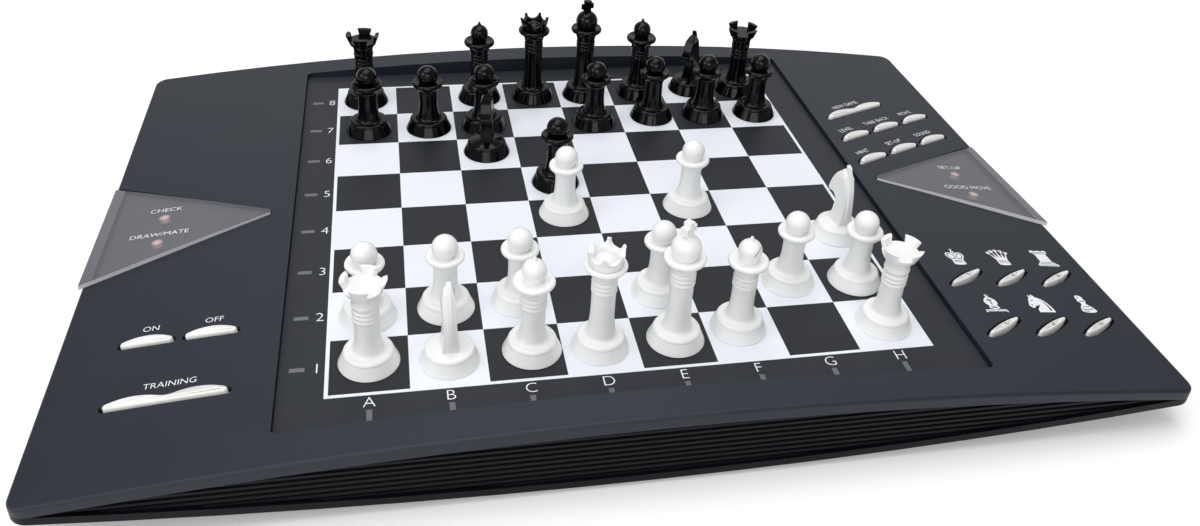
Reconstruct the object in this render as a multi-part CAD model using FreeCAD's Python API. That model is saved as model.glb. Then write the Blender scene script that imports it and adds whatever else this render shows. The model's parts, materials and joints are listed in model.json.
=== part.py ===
import FreeCAD
import Part
import math
import os
from FreeCAD import Placement, Rotation, Vector

# Housing: a shallow lens in front view, drawn straight back
HOUSING_WIDTH = 357.2
HOUSING_DEPTH = 245.2
HOUSING_CORNER = 5.0
FLOOR_GAP = 1.0
BODY_HEIGHT = 25.8
TOP_FALL = 11.3
KEEL_RISE = 8.9
EDGE_ROUND = 1.0
WALL = 2.0
SEAM = 0.1

# Ribbed ends between the top band and the bottom lip
TOP_BAND = 4.2
BOTTOM_LIP = 3.2
RIB_PITCH = 2.04
RIB_GROOVE = 0.9
RIB_DEPTH = 0.8
RIB_INSET = 1.0
RIB_WALL = 2.2
RIB_END = 6.0

# Playing board in its recess
SQUARE = 24.0
BOARD_BACK = 1.0
RECESS_WIDTH = 222.2
RECESS_DEPTH = 220.6
RECESS_CORNER = 2.0
RECESS_HALF = RECESS_WIDTH / 2
SIDE_BAND = HOUSING_WIDTH / 2 - RECESS_HALF
FILM_SINK = 6.3
FILM = 0.4
MEMBRANE = 0.6
DECK = 2.0
FILM_PLAY = 0.3

# Light slots beside the ranks and in front of the files
SLOT_OUT = 9.5
SLOT_LENGTH = 4.8
SLOT_WIDTH = 1.8
LAMP_PLAY = 0.2
LAMP_HEIGHT = 1.2
STRIP_WIDTH = 8.0
STRIP_END = 4.0

# Indicator windows
WINDOW_REACH = 0.9096 * SIDE_BAND
WINDOW_HALF = 30.5
WINDOW_OVERHANG = 0.8
WINDOW_THICK = 1.6
WINDOW_RAISE = 0.7
WINDOW_TILT = 2.0
WINDOW_TIP = 1.5
WINDOW_PLAY = 0.35
WINDOW_BED = 0.1
WINDOW_FLOOR = 1.2
LAMP_X = RECESS_HALF + 0.683 * SIDE_BAND
LAMP_BACK = 5.4
LAMP_FRONT = -10.7
LAMP_DIAMETER = 3.0

# Keys, with places and lengths that follow the band beside the board
KEY_RISE = 1.7
KEY_DEPTH = 4.2
KEY_END = 1.2
KEY_DIP = 2.6
KEY_ROUND = 0.9
KEY_TRAVEL = 1.0
KEY_FLANGE = 0.8
KEY_LEDGE = 0.9
KEY_GAP = 0.15
SLOT_SIDE_PLAY = 0.3
SLOT_END_PLAY = 0.8
LEFT_KEY_LENGTH = 0.24 * SIDE_BAND
LEFT_KEY_PITCH = 0.2874 * SIDE_BAND
LEFT_KEYS_X = -RECESS_HALF - 0.4607 * SIDE_BAND
WAVE_KEY_LENGTH = 0.5333 * SIDE_BAND
RIGHT_KEY_LENGTH = 0.2637 * SIDE_BAND
RIGHT_KEY_PITCH = 0.2741 * SIDE_BAND
RIGHT_KEYS_X = RECESS_HALF + 0.4844 * SIDE_BAND
KEY_ROW_STEP = 26.8
FRONT_ROW_Y = -91.0
COMMAND_ROW_Y = 25.2
COMMAND_ROW_STEP = 18.7
NEW_GAME_SLIDE = 0.1407 * SIDE_BAND
PIECE_KEY_LENGTH = 0.2607 * SIDE_BAND
PIECE_KEY_DEPTH = 4.4
PIECE_KEY_TURN = 28.0

# Boards and rubber mats under the keys
KEY_BOARD_X = RECESS_HALF + 0.4578 * SIDE_BAND
KEY_BOARD_WIDTH = 0.6815 * SIDE_BAND
KEY_BOARD = 0.8
KEY_BOARD_FRONT = -104.0
LEFT_BOARD_BACK = 12.0
RIGHT_BOARD_BACK = 80.0
MAT_SHEET = 0.5
MAT_DOME = 0.45
MAT_DOME_RADIUS = 2.0
MAT_MARGIN = 5.0
BOSS_RADIUS = 2.0
BOSS_INSET = 3.0

# Main board on its pillars
MAIN_LENGTH = 62.0
MAIN_WIDTH = 76.0
MAIN_X = 66.0
MAIN_Y = -4.0
MAIN_LIFT = 8.2
MAIN_THICK = 1.2
PILLAR_RADIUS = 2.5
PILLAR_INSET = 4.0
CHIP_RADIUS = 7.0
CHIP_HEIGHT = 2.0

# Speaker on its ring
SPEAKER_X = -56.0
SPEAKER_Y = -52.0
SPEAKER_RADIUS = 20.0
SPEAKER_SEAT = 5.2
SPEAKER_FLANGE = 1.2
SPEAKER_CONE = 4.6
MAGNET_RADIUS = 9.0
MAGNET_HEIGHT = 3.0
GRILLE_SLOT = 2.0
GRILLE_PITCH = 4.4
GRILLE_LENGTH = 26.0
GRILLE_SLOTS = 5

# Battery bay, three slim cells side by side
CELL_RADIUS = 5.25
CELL_LENGTH = 44.5
CELL_NUB = 0.8
CELL_NUB_RADIUS = 1.9
CELL_COUNT = 3
CELL_PLAY = 0.4
CONTACT_ROOM = 3.2
BAY_Y = 62.0
BAY_WALL = 1.6
DOOR_PLAY = 0.3
HINGE_PIN = 0.5
HINGE_PIN_LENGTH = 1.0
HINGE_PLAY = 0.1
HINGE_LIFT = 1.3
HINGE_BACK = 1.8
HINGE_EDGE = 0.7
THUMB_WIDTH = 14.0
THUMB_DEEP = 5.0
THUMB_RISE = 1.0

# Screws and feet
SCREW_RADIUS = 1.25
SCREW_PLAY = 0.05
SCREW_LENGTH = 9.0
SCREW_HEAD = 2.75
SCREW_HEAD_HEIGHT = 1.8
SCREW_SINK = 3.0
HEAD_PLAY = 0.25
DRIVE_REACH = 1.5
DRIVE_SLIT = 0.55
SCREW_FLOOR = 1.5
POST_RADIUS = 3.5
INNER_SCREW_X = 75.0
INNER_SCREW_Y = 92.0
OUTER_SCREW_X = RECESS_HALF + 0.4281 * SIDE_BAND
OUTER_SCREW_Y = 111.0
FOOT_RADIUS = 6.0
FOOT_HEIGHT = 2.0
FOOT_X = 102.0
FOOT_Y = 90.0
FOOT_SEAT_RIM = 1.0

# Chess pieces: a shared foot and stem
BASE_RADIUS = 9.45
BASE_TOP_RADIUS = 7.8
BASE_HEIGHT = 5.4
BASE_ROUND = 1.3
BASE_LIP = 0.35
STEM_FOOT = 4.6
STEM_FILLET = 1.4
STEM_RADIUS = 3.8
STEM_TOP = 4.2
COLLAR_EDGE = 1.0
BEAD_COUNT = 3
BEAD = 0.3
BEAD_PITCH = 1.6
WAIST_SHARE = 0.6

# Chess pieces: collars and heads
PAWN_COLLAR = 21.2
PAWN_COLLAR_RADIUS = 6.3
PAWN_BALL = 4.2
PAWN_NECK = 3.15
PAWN_HEIGHT = 29.0
BISHOP_COLLAR = 27.4
BISHOP_COLLAR_RADIUS = 6.6
BISHOP_NECK = 3.0
BISHOP_HEAD = 3.8
BISHOP_WIDEST = 31.6
BISHOP_TIP = 0.95
BISHOP_HEIGHT = 37.0
BISHOP_CUT = 0.5
BISHOP_CUT_TILT = 50.0
QUEEN_COLLAR = 32.4
QUEEN_COLLAR_RADIUS = 6.8
QUEEN_CROWN = 6.2
QUEEN_CROWN_WALL = 1.2
QUEEN_HEIGHT = 38.4
QUEEN_POINT_COUNT = 6
QUEEN_SCALLOP = 2.5
KING_COLLAR = 32.8
KING_COLLAR_RADIUS = 6.7
KING_NECK = 3.9
KING_BALL = 4.75
KING_BALL_TOP = 41.3
KING_HEIGHT = 46.2
CROSS_WIDTH = 5.0
CROSS_BAR = 2.4
CROSS_PINCH = 1.8
CROSS_ARMS = 43.6
CROSS_THICK = 2.6
ROOK_NECK = 23.4
ROOK_FLOOR = 29.5
ROOK_HEIGHT = 32.0
ROOK_CROWN = 7.0
ROOK_WALL = 1.5
ROOK_GAP = 4.6

# Knight's head: reach forward in mm from the side, half width from the front, each with a share of the height
KNIGHT_HEIGHT = 29.8
KNIGHT_EDGE = 0.3
KNIGHT_CHEST = (3.9, 0.158)
KNIGHT_CHEST_BEND = (2.4, 0.33)
KNIGHT_THROAT = (2.0, 0.50)
KNIGHT_JAW_BEND = (3.8, 0.555)
KNIGHT_JAW = (5.8, 0.545)
KNIGHT_LIP_BEND = (6.9, 0.57)
KNIGHT_NOSE = (6.9, 0.62)
KNIGHT_FACE_BEND = (5.5, 0.755)
KNIGHT_BROW = (3.5, 0.86)
KNIGHT_EAR = (1.6, 0.93)
KNIGHT_NAPE = (-1.0, 0.88)
KNIGHT_BACK_BEND = (-3.7, 0.58)
KNIGHT_BACK = (-4.0, 0.158)
NECK_SIDE = (2.9, 0.158)
NECK_SIDE_BEND = (2.3, 0.36)
CHEEK_SIDE = (2.1, 0.60)
EAR_SIDE = (2.1, 0.83)
EAR_TIP = (0.9, 0.94)
MANE_THICK = 1.3
MANE_TIP = (0.7, 1.0)
MANE_CREST = (-0.7, 0.98)
MANE_BEND = (-4.2, 0.66)
MANE_END = (-4.6, 0.27)
MANE_ROOT = (0.0, 0.40)
EYE_SPOT = (3.9, 0.77)
EYE_RADIUS = 0.7
NOSTRIL_SPOT = (6.1, 0.60)
NOSTRIL_RADIUS = 0.45
KNIGHT_SEAT_RISE = 1.2

# Shared places worked out from the sizes above
HALF_WIDTH = HOUSING_WIDTH / 2
HALF_DEPTH = HOUSING_DEPTH / 2
CREST = FLOOR_GAP + BODY_HEIGHT
PARTING = (CREST - TOP_FALL + FLOOR_GAP + KEEL_RISE) / 2
RIB_SPAN = HALF_WIDTH - RIB_END
RIM = RIB_INSET + RIB_WALL
FILM_TOP = CREST - FILM_SINK
DECK_TOP = FILM_TOP - FILM - MEMBRANE
DECK_BOTTOM = DECK_TOP - DECK
BOARD_SAG = TOP_FALL * (KEY_BOARD_WIDTH / 2 / HALF_WIDTH) ** 2
KEY_DROP = WALL + KEY_GAP + KEY_FLANGE + KEY_TRAVEL + KEY_GAP
KEY_BOARD_DROP = KEY_DROP + BOARD_SAG + MAT_DOME + MAT_SHEET
FAR = 500.0


class Arch:
    """A circular arc across the housing, bulging up for the top and down for the keel."""

    def __init__(self, middle, radius, bulge):
        self.middle = middle
        self.radius = radius
        self.bulge = bulge

    @classmethod
    def through(cls, middle, side):
        drop = abs(middle - side)
        radius = (HALF_WIDTH ** 2 + drop ** 2) / (2 * drop)
        return cls(middle, radius, 1 if middle > side else -1)

    def inner(self, distance):
        return Arch(self.middle - self.bulge * distance, self.radius - distance, self.bulge)

    def height(self, x):
        return self.middle - self.bulge * (self.radius - math.sqrt(self.radius ** 2 - x ** 2))

    def edge(self, x0, x1):
        points = [Vector(x, 0, self.height(x)) for x in (x0, (x0 + x1) / 2, x1)]
        return Part.Arc(*points).toShape()


CROWN = Arch.through(CREST, CREST - TOP_FALL)
KEEL = Arch.through(FLOOR_GAP, FLOOR_GAP + KEEL_RISE)


# Small drawing helpers
def line(a, b):
    return Part.LineSegment(a, b).toShape()


def front_arc(x0, x1, z_end, z_middle):
    middle = Vector((x0 + x1) / 2, 0, z_middle)
    return Part.Arc(Vector(x0, 0, z_end), middle, Vector(x1, 0, z_end)).toShape()


def join_ends(edges):
    """Closes a chain of edges into a face, with straight lines over the gaps."""
    chain = []
    for edge, following in zip(edges, edges[1:] + edges[:1]):
        chain.append(edge)
        end = edge.valueAt(edge.LastParameter)
        start = following.valueAt(following.FirstParameter)
        if (end - start).Length > 1e-6:
            chain.append(line(end, start))
    return Part.Face(Part.Wire(chain))


def run_back(face, y0, y1):
    """Carries a front-view face from y0 to y1."""
    moved = face.translated(Vector(0, y0, 0))
    return moved.extrude(Vector(0, y1 - y0, 0))


def box(x0, x1, y0, y1, z0, z1):
    return Part.makeBox(x1 - x0, y1 - y0, z1 - z0, Vector(x0, y0, z0))


def upright_box(x, y, half_x, half_y, z0, z1):
    return box(x - half_x, x + half_x, y - half_y, y + half_y, z0, z1)


def rod(radius, x, y, z0, z1):
    return Part.makeCylinder(radius, z1 - z0, Vector(x, y, z0))


def rounded_box(half_x, half_y, corner, z0, z1):
    block = box(-half_x, half_x, -half_y, half_y, z0, z1)
    upright = [e for e in block.Edges if abs(e.tangentAt(e.FirstParameter).z) > 0.9]
    return block.makeFillet(corner, upright)


def joined(first, others):
    return first.fuse(list(others)).removeSplitter() if others else first


def between(upper, lower, half_x, y0, y1):
    """The slab between two arches over a width and a run of depth."""
    upper_edge = upper.edge(-half_x, half_x)
    lower_edge = lower.edge(half_x, -half_x)
    return run_back(join_ends([upper_edge, lower_edge]), y0, y1)


def below_crown(z0, half_x, y0, y1):
    """Everything under the top surface, down to a flat level."""
    top = CROWN.edge(-half_x, half_x)
    flat = line(Vector(half_x, 0, z0), Vector(-half_x, 0, z0))
    return run_back(join_ends([top, flat]), y0, y1)


def above_keel(z1, half_x, y0, y1):
    """Everything over the underside, up to a flat level."""
    bottom = KEEL.edge(-half_x, half_x)
    flat = line(Vector(half_x, 0, z1), Vector(-half_x, 0, z1))
    return run_back(join_ends([bottom, flat]), y0, y1)


def on_crown(x, y, turn=0.0):
    """A frame standing square on the top surface, turned about its own upright."""
    lean = math.degrees(math.asin(x / CROWN.radius))
    rotation = Rotation(Vector(0, 1, 0), lean).multiply(Rotation(Vector(0, 0, 1), turn))
    return Placement(Vector(x, y, CROWN.height(x)), rotation)


def placed(shape, placement):
    moved = shape.copy()
    moved.Placement = placement.multiply(moved.Placement)
    return moved


# Key outlines, in their own plane with the front edge along X
def outline_face(edges):
    return Part.Face(Part.Wire(edges))


def mirrored_arc(a, b, c):
    flip = [Vector(-p.x, p.y, 0) for p in (c, b, a)]
    return Part.Arc(*flip).toShape()


def arc_about(centre, radius, start, end):
    """An arc from one angle to another, in degrees."""
    points = []
    for angle in (start, (start + end) / 2, end):
        turn = math.radians(angle)
        points.append(centre + Vector(radius * math.cos(turn), radius * math.sin(turn), 0))
    return points


def hump_radius(reach, depth, end):
    """Radius of the back edge that rolls smoothly into an end of the given radius."""
    return (end ** 2 - reach ** 2 - (end - depth) ** 2) / (2 * (2 * end - depth))


def half_moon(length, depth, end):
    """Straight front edge, one arched back edge."""
    reach = length / 2 - end
    radius = hump_radius(reach, depth, end)
    centre = Vector(0, depth - radius, 0)
    meet = math.degrees(math.atan2(end - centre.y, reach))
    tip = arc_about(Vector(reach, end, 0), end, -90, meet)
    back = arc_about(centre, radius, meet, 180 - meet)
    front = line(Vector(-reach, 0, 0), Vector(reach, 0, 0))
    return outline_face([front, Part.Arc(*tip).toShape(), Part.Arc(*back).toShape(), mirrored_arc(*tip)])


def double_moon(length, depth, end):
    """Straight front edge, two arched humps with a dip between them."""
    hump = length / 4
    reach = length / 2 - end
    radius = hump_radius(reach - hump, depth, end)
    centre = Vector(hump, depth - radius, 0)
    meet = math.degrees(math.atan2(end - centre.y, reach - hump))
    sink = KEY_DEPTH - KEY_DIP
    dip_radius = (hump ** 2 + sink ** 2) / (2 * sink) - radius
    dip_centre = Vector(0, depth - sink + dip_radius, 0)
    turn = math.degrees(math.atan2(dip_centre.y - centre.y, -hump))
    tip = arc_about(Vector(reach, end, 0), end, -90, meet)
    back = arc_about(centre, radius, meet, turn)
    dip = arc_about(dip_centre, dip_radius, turn - 180, -turn)
    front = line(Vector(-reach, 0, 0), Vector(reach, 0, 0))
    right = [Part.Arc(*tip).toShape(), Part.Arc(*back).toShape()]
    left = [mirrored_arc(*back), mirrored_arc(*tip)]
    return outline_face([front] + right + [Part.Arc(*dip).toShape()] + left)


def slim_lens(length, depth, end):
    """Two shallow arcs with rounded ends."""
    reach = length / 2 - end
    radius = (reach ** 2 + depth ** 2 / 4 - end ** 2) / (depth - 2 * end)
    centre = Vector(0, depth - radius, 0)
    meet = math.degrees(math.atan2(radius - depth / 2, reach))
    tip = arc_about(Vector(reach, depth / 2, 0), end, -meet, meet)
    back = arc_about(centre, radius, meet, 180 - meet)
    front = [Vector(p.x, depth - p.y, 0) for p in back]
    edges = [Part.Arc(*front[::-1]).toShape(), Part.Arc(*tip).toShape(), Part.Arc(*back).toShape()]
    return outline_face(edges + [mirrored_arc(*tip)])


class Key:
    """One key: where it stands, how it is turned and which outline it has."""

    def __init__(self, name, outline, x, y, turn, length, depth=KEY_DEPTH):
        self.name = name
        self.outline = outline
        self.place = on_crown(x, y, turn)
        self.length = length
        self.depth = depth
        self.front = -depth / 2 if outline is slim_lens else 0.0

    def prism(self, side, ends, z0, z1):
        """The outline grown at its sides and ends, between two levels off the surface."""
        face = self.outline(self.length + 2 * ends, self.depth + 2 * side, KEY_END + side)
        face.translate(Vector(0, self.front - side, z0))
        return face.extrude(Vector(0, 0, z1 - z0))

    def solid(self):
        flange_top = -WALL - KEY_GAP
        cap = self.prism(0, 0, flange_top - KEY_FLANGE, KEY_RISE)
        rim = [e for e in cap.Edges if all(abs(v.Z - KEY_RISE) < 1e-6 for v in e.Vertexes)]
        cap = cap.makeFillet(KEY_ROUND, rim)
        flange = self.prism(KEY_LEDGE, KEY_LEDGE + SLOT_END_PLAY / 2, flange_top - KEY_FLANGE, flange_top)
        return placed(cap.fuse(flange).removeSplitter(), self.place)

    def slot(self):
        return placed(self.prism(SLOT_SIDE_PLAY, SLOT_END_PLAY, -2 * WALL, 2 * WALL), self.place)

    def press_points(self):
        """Where the key presses its mat, in the key's own plane."""
        spread = [-self.length / 4, self.length / 4] if self.outline is double_moon else [0.0]
        return [Vector(along, self.front + self.depth / 2, 0) for along in spread]


def command_turn():
    """The command keys lie along the window's back edge."""
    return math.degrees(math.atan2(WINDOW_HALF, WINDOW_REACH))


def all_keys():
    back_row_y = FRONT_ROW_Y + KEY_ROW_STEP
    turn = command_turn()
    climb = RIGHT_KEY_PITCH * math.tan(math.radians(turn))
    keys = [
        Key("key_on", half_moon, LEFT_KEYS_X - LEFT_KEY_PITCH / 2, back_row_y, 0, LEFT_KEY_LENGTH),
        Key("key_off", half_moon, LEFT_KEYS_X + LEFT_KEY_PITCH / 2, back_row_y, 0, LEFT_KEY_LENGTH),
        Key("key_training", double_moon, LEFT_KEYS_X, FRONT_ROW_Y, 0, WAVE_KEY_LENGTH),
    ]
    rows = [("key_hint", "key_set_up", "key_sound"), ("key_level", "key_take_back", "key_move")]
    for row, names in enumerate(rows):
        for column, name in enumerate(names):
            x = RIGHT_KEYS_X + (column - 1) * RIGHT_KEY_PITCH
            y = COMMAND_ROW_Y + row * COMMAND_ROW_STEP + (column - 1) * climb
            keys.append(Key(name, half_moon, x, y, turn, RIGHT_KEY_LENGTH))
    x = RIGHT_KEYS_X - NEW_GAME_SLIDE
    y = COMMAND_ROW_Y + 2 * COMMAND_ROW_STEP - NEW_GAME_SLIDE * math.tan(math.radians(turn))
    keys.append(Key("key_new_game", double_moon, x, y, turn, WAVE_KEY_LENGTH))
    piece_rows = [("key_bishop", "key_knight", "key_pawn"), ("key_king", "key_queen", "key_rook")]
    for row, names in enumerate(piece_rows):
        for column, name in enumerate(names):
            x = RIGHT_KEYS_X + (column - 1) * RIGHT_KEY_PITCH
            y = FRONT_ROW_Y + row * KEY_ROW_STEP
            keys.append(Key(name, slim_lens, x, y, PIECE_KEY_TURN, PIECE_KEY_LENGTH, PIECE_KEY_DEPTH))
    return keys


KEYS = all_keys()


# Places shared by the covers and what they hold
def screw_places():
    inner = [(x, y) for x in (-INNER_SCREW_X, INNER_SCREW_X) for y in (-INNER_SCREW_Y, INNER_SCREW_Y)]
    outer = [(x, y) for x in (-OUTER_SCREW_X, OUTER_SCREW_X) for y in (-OUTER_SCREW_Y, OUTER_SCREW_Y)]
    return inner + outer


def screw_seat(x):
    """Height of the shoulder that the screw's head pulls against."""
    return KEEL.height(x) + SCREW_SINK


def foot_places():
    return [(x, y) for x in (-FOOT_X, FOOT_X) for y in (-FOOT_Y, FOOT_Y)]


def rank_slots():
    x = -4 * SQUARE - SLOT_OUT
    return [(x, BOARD_BACK + (k - 3.5) * SQUARE) for k in range(8)]


def file_slots():
    y = BOARD_BACK - 4 * SQUARE - SLOT_OUT
    return [((k - 3.5) * SQUARE, y) for k in range(8)]


def slot_boxes(play, z0, z1):
    """The light slots, long side pointing away from the board."""
    long_half = SLOT_LENGTH / 2 + play
    short_half = SLOT_WIDTH / 2 + play
    along = [upright_box(x, y, long_half, short_half, z0, z1) for x, y in rank_slots()]
    across = [upright_box(x, y, short_half, long_half, z0, z1) for x, y in file_slots()]
    return along, across


def bay_half_length():
    return CELL_LENGTH / 2 + CONTACT_ROOM


def bay_half_width():
    return CELL_COUNT * CELL_RADIUS + (CELL_COUNT + 1) * CELL_PLAY / 2


def cell_centre_height():
    return KEEL.height(bay_half_length()) + WALL + CELL_PLAY + CELL_RADIUS


def bay_roof():
    return cell_centre_height() + CELL_RADIUS + CELL_PLAY


def hinge_axis():
    """The line that the door swings about, as depth and height."""
    return BAY_Y + bay_half_width() - HINGE_BACK, FLOOR_GAP + HINGE_LIFT


def window_face(play):
    """Triangle in plan, pointing at the board on the right-hand side, with a rounded tip."""
    angle = math.atan2(WINDOW_HALF, WINDOW_REACH)
    tip_x = HALF_WIDTH - WINDOW_REACH - play / math.sin(angle)
    outer_x = HALF_WIDTH + WINDOW_OVERHANG + (FAR if play else 0)
    spread = (outer_x - tip_x) * math.tan(angle)
    radius = WINDOW_TIP + play
    back = radius / math.sin(angle)
    centre = Vector(tip_x + back, BOARD_BACK, 0)
    touch = Vector(centre.x - radius * math.sin(angle), BOARD_BACK + radius * math.cos(angle), 0)
    touch_low = Vector(touch.x, 2 * BOARD_BACK - touch.y, 0)
    upper = Vector(outer_x, BOARD_BACK + spread, 0)
    lower = Vector(outer_x, BOARD_BACK - spread, 0)
    tip = Part.Arc(touch, Vector(centre.x - radius, BOARD_BACK, 0), touch_low).toShape()
    return Part.Face(Part.Wire([tip, line(touch_low, lower), line(lower, upper), line(upper, touch)]))


def window_slab(raise_top, raise_bottom):
    """The leaning layer between two levels off the top surface, higher at the front."""
    upper = CROWN.inner(-raise_top)
    lower = CROWN.inner(-raise_bottom)
    slab = between(upper, lower, HALF_WIDTH + 4 * WINDOW_OVERHANG, -2 * WINDOW_HALF, 2 * WINDOW_HALF)
    slab.translate(Vector(0, BOARD_BACK, 0))
    slab.rotate(Vector(0, BOARD_BACK, CROWN.height(LAMP_X)), Vector(1, 0, 0), -WINDOW_TILT)
    return slab


def window_prism(play):
    return window_face(play).translated(Vector(0, 0, -FAR / 2)).extrude(Vector(0, 0, FAR))


def both_sides(shape):
    return [shape, shape.mirror(Vector(0, 0, 0), Vector(1, 0, 0))]


def lamp_places():
    return [(side * LAMP_X, BOARD_BACK + y) for side in (-1, 1) for y in (LAMP_BACK, LAMP_FRONT)]


def key_board_frame(side):
    return on_crown(side * KEY_BOARD_X, 0)


def key_board_runs():
    """Each side's board: its side, front end and back end."""
    return [(-1, KEY_BOARD_FRONT, LEFT_BOARD_BACK), (1, KEY_BOARD_FRONT, RIGHT_BOARD_BACK)]


def mat_runs():
    """Each rubber mat: its side and the keys that it carries."""
    left = [k for k in KEYS if k.place.Base.x < 0]
    right_front = [k for k in KEYS if k.place.Base.x > 0 and k.place.Base.y < 0]
    right_back = [k for k in KEYS if k.place.Base.x > 0 and k.place.Base.y > 0]
    return [(-1, left), (1, right_front), (1, right_back)]


def mat_span(keys):
    ys = [k.place.Base.y for k in keys]
    return min(ys) - MAT_MARGIN, max(ys) + MAT_MARGIN


def boss_places():
    """Bosses under the top cover that the key boards are fixed to, clear of the mats."""
    places = []
    for side, front, back in key_board_runs():
        spans = [mat_span(keys) for mat_side, keys in mat_runs() if mat_side == side]
        rows = [front + BOSS_INSET] + [span[1] + BOSS_INSET for span in spans]
        for y in rows:
            for u in (-1, 1):
                places.append((side, u * (KEY_BOARD_WIDTH / 2 - BOSS_INSET), y))
    return places


# Top cover: arched sheet with a rim, the board's recess, key slots and window beds
def cover_blank():
    low = front_arc(-RIB_SPAN, RIB_SPAN, PARTING, CREST - TOP_BAND)
    left = line(Vector(-HALF_WIDTH, 0, PARTING), Vector(-RIB_SPAN, 0, PARTING))
    right = line(Vector(RIB_SPAN, 0, PARTING), Vector(HALF_WIDTH, 0, PARTING))
    face = join_ends([left, low, right, CROWN.edge(HALF_WIDTH, -HALF_WIDTH)])
    blank = run_back(face, -HALF_DEPTH, HALF_DEPTH)
    blank = blank.common(rounded_box(HALF_WIDTH, HALF_DEPTH, HOUSING_CORNER, 0, CREST + WALL))
    return blank.makeFillet(EDGE_ROUND, rim_edges(blank, CROWN))


def rim_edges(blank, arch):
    """The edges that lie on an arched surface all along."""
    found = []
    for edge in blank.Edges:
        first, last = edge.ParameterRange
        points = [edge.valueAt(first + (last - first) * share) for share in (0.0, 0.5, 1.0)]
        if all(abs(p.z - arch.height(p.x)) < 1e-4 for p in points):
            found.append(edge)
    return found


def top_cover():
    inside_x = HALF_WIDTH - WALL
    inside_y = HALF_DEPTH - RIM
    hollow = between(CROWN.inner(WALL), KEEL, inside_x, -inside_y, inside_y)
    cover = cover_blank().cut(hollow)
    well_x = RECESS_HALF + WALL
    well_y = RECESS_DEPTH / 2 + WALL
    well = below_crown(DECK_BOTTOM, well_x, -well_y, well_y)
    low = PARTING + SEAM
    beds = window_prism(WINDOW_PLAY + WALL).common(window_slab(0, WINDOW_RAISE - WINDOW_THICK - WINDOW_FLOOR))
    shell = below_crown(low, HALF_WIDTH - EDGE_ROUND, -inside_y, inside_y)
    beds = beds.common(shell)
    extras = [well] + both_sides(beds)
    for x, y in screw_places():
        top = DECK_BOTTOM + SEAM if abs(x) < well_x and abs(y) < well_y else CROWN.height(x) - WALL / 2
        extras.append(rod(POST_RADIUS, x, y, screw_seat(x) + SCREW_FLOOR, top))
    for side, u, y in boss_places():
        boss = rod(BOSS_RADIUS, u, y, -KEY_BOARD_DROP, -WALL / 2)
        extras.append(placed(boss, key_board_frame(side)))
    cover = joined(cover, extras)
    recess = rounded_box(RECESS_HALF, RECESS_DEPTH / 2, RECESS_CORNER, DECK_TOP, CREST + WALL)
    cuts = [recess] + [key.slot() for key in KEYS]
    sunk = window_prism(WINDOW_PLAY).common(window_slab(FAR / 10, WINDOW_RAISE - WINDOW_THICK - WINDOW_BED))
    cuts += both_sides(sunk)
    for x, y in lamp_places():
        cuts.append(placed(rod(LAMP_DIAMETER / 2 + LAMP_PLAY, 0, 0, -FAR / 20, WALL), on_crown(x, y)))
    for along_or_across in slot_boxes(LAMP_PLAY, DECK_BOTTOM - SEAM, DECK_TOP + SEAM):
        cuts += along_or_across
    for x, y in screw_places():
        cuts.append(rod(SCREW_RADIUS + SCREW_PLAY, x, y, 0, screw_seat(x) + SCREW_LENGTH + SCREW_FLOOR / 3))
    return cover.cut(cuts)


# Bottom cover: keel tray, ribbed end walls, battery bay, speaker ring, pillars and screw bosses
def tray_blank():
    high = front_arc(RIB_SPAN, -RIB_SPAN, PARTING, FLOOR_GAP + BOTTOM_LIP)
    right = line(Vector(HALF_WIDTH, 0, PARTING), Vector(RIB_SPAN, 0, PARTING))
    left = line(Vector(-RIB_SPAN, 0, PARTING), Vector(-HALF_WIDTH, 0, PARTING))
    face = join_ends([KEEL.edge(-HALF_WIDTH, HALF_WIDTH), right, high, left])
    blank = run_back(face, -HALF_DEPTH, HALF_DEPTH)
    blank = blank.common(rounded_box(HALF_WIDTH, HALF_DEPTH, HOUSING_CORNER, -WALL, CREST))
    return blank.makeFillet(EDGE_ROUND, rim_edges(blank, KEEL))


def rib_wall():
    """The front end's wall, grooved level like stacked pages."""
    top = front_arc(-RIB_SPAN, RIB_SPAN, PARTING - SEAM, CREST - TOP_BAND - SEAM)
    bottom = front_arc(RIB_SPAN, -RIB_SPAN, PARTING - WALL / 2, FLOOR_GAP + BOTTOM_LIP - WALL / 2)
    face_y = -HALF_DEPTH + RIB_INSET
    wall = run_back(join_ends([top, bottom]), face_y, face_y + RIB_WALL)
    lowest = FLOOR_GAP + BOTTOM_LIP
    grooves = []
    level = CREST - TOP_BAND - RIB_GROOVE
    while level > lowest + RIB_GROOVE:
        flare = RIB_GROOVE / 4
        half = RIB_GROOVE / 2
        outer = face_y - RIB_DEPTH
        corners = [
            Vector(-HALF_WIDTH, outer, level - half - 2 * flare),
            Vector(-HALF_WIDTH, outer, level + half + 2 * flare),
            Vector(-HALF_WIDTH, face_y + RIB_DEPTH, level + half - flare),
            Vector(-HALF_WIDTH, face_y + RIB_DEPTH, level - half + flare),
        ]
        groove = Part.Face(Part.makePolygon(corners + corners[:1]))
        grooves.append(groove.extrude(Vector(HOUSING_WIDTH, 0, 0)))
        level -= RIB_PITCH
    return wall.cut(grooves)


def bay_walls():
    half_x = bay_half_length() + BAY_WALL
    half_y = bay_half_width() + BAY_WALL
    return above_keel(bay_roof() + BAY_WALL, half_x, BAY_Y - half_y, BAY_Y + half_y)


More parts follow.
